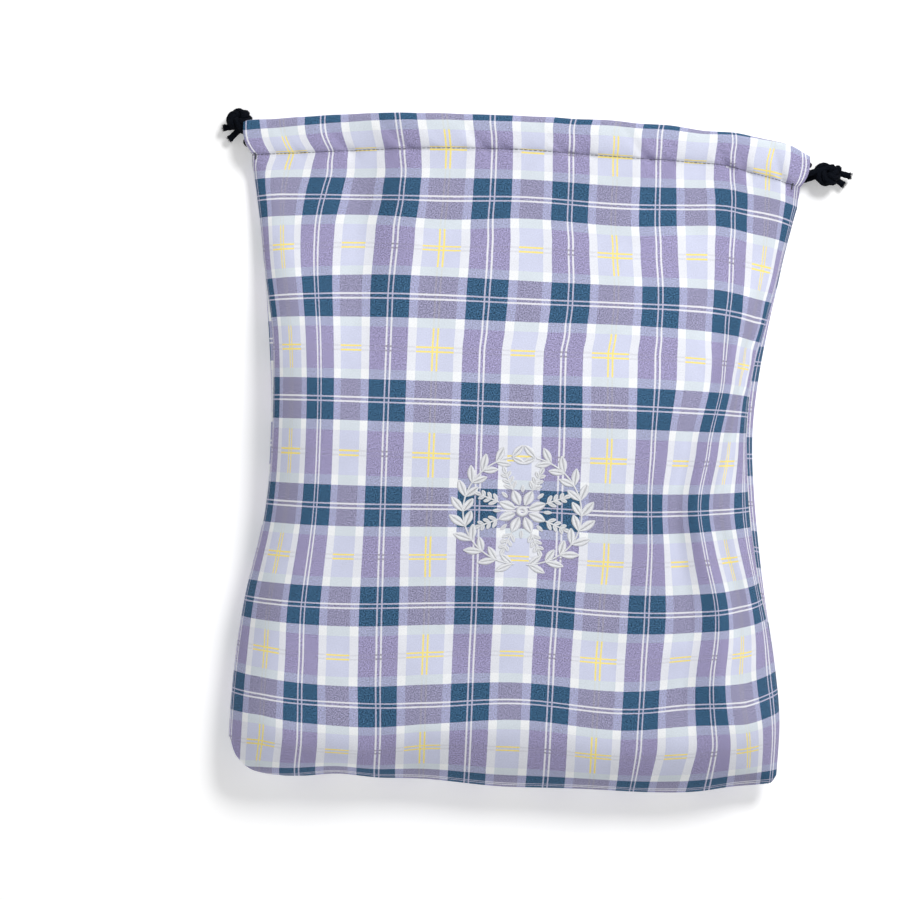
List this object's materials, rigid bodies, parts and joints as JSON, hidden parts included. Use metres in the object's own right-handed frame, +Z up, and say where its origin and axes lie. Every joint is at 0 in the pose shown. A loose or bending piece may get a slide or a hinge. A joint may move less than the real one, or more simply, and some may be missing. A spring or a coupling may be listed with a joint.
{
  "type": "drawstring shoe bag",
  "caption": "Flat-cut plaid cloth shoe bag with a hemmed drawstring mouth, knotted cords at both sides and a white embroidered rosette.",
  "frame": {"origin": "on the flat underside, under the middle of the bag, where the rest face's point is", "axes": "+Y from the bottom seam to the mouth, +X to the bag's right as it lies on its back, +Z up through the embroidered front"},
  "size_m": [0.4186, 0.4355, 0.0601],
  "materials": {
    "plaid_cloth": "matte printed polyester cloth, tartan check of lavender, mauve, teal, white and pale yellow",
    "seam_thread": "pale overlock thread",
    "hem_thread": "dark sewing thread",
    "emblem_thread": "white rayon embroidery thread, satin sheen",
    "backing": "white non-woven stabiliser",
    "cord": "black braided polyester cord"
  },
  "bodies": {
    "bag": {"front_panel": "plaid_cloth", "back_panel": "plaid_cloth", "left_side_seam": "seam_thread", "right_side_seam": "seam_thread", "bottom_seam": "seam_thread", "front_hem_stitching": "hem_thread", "back_hem_stitching": "hem_thread", "front_left_bartack": "hem_thread", "front_right_bartack": "hem_thread", "back_left_bartack": "hem_thread", "back_right_bartack": "hem_thread", "embroidered_emblem": "emblem_thread", "embroidery_backing": "backing", "left_cord_run": "cord", "right_cord_run": "cord"},
    "left_cord_end": {"left_cord_knot": "cord", "left_cord_front_strand": "cord", "left_cord_back_strand": "cord", "left_cord_long_tail": "cord", "left_cord_short_tail": "cord"},
    "right_cord_end": {"right_cord_knot": "cord", "right_cord_front_strand": "cord", "right_cord_back_strand": "cord", "right_cord_long_tail": "cord", "right_cord_short_tail": "cord"}
  },
  "joints": [
    {"name": "left_drawcord_pull", "type": "slide", "parent": "bag", "child": "left_cord_end", "axis": [-0.9951, -0.099, 0], "range_m": [0, 0.05]},
    {"name": "right_drawcord_pull", "type": "slide", "parent": "bag", "child": "right_cord_end", "axis": [0.9844, -0.1761, 0], "range_m": [0, 0.05]}
  ]
}
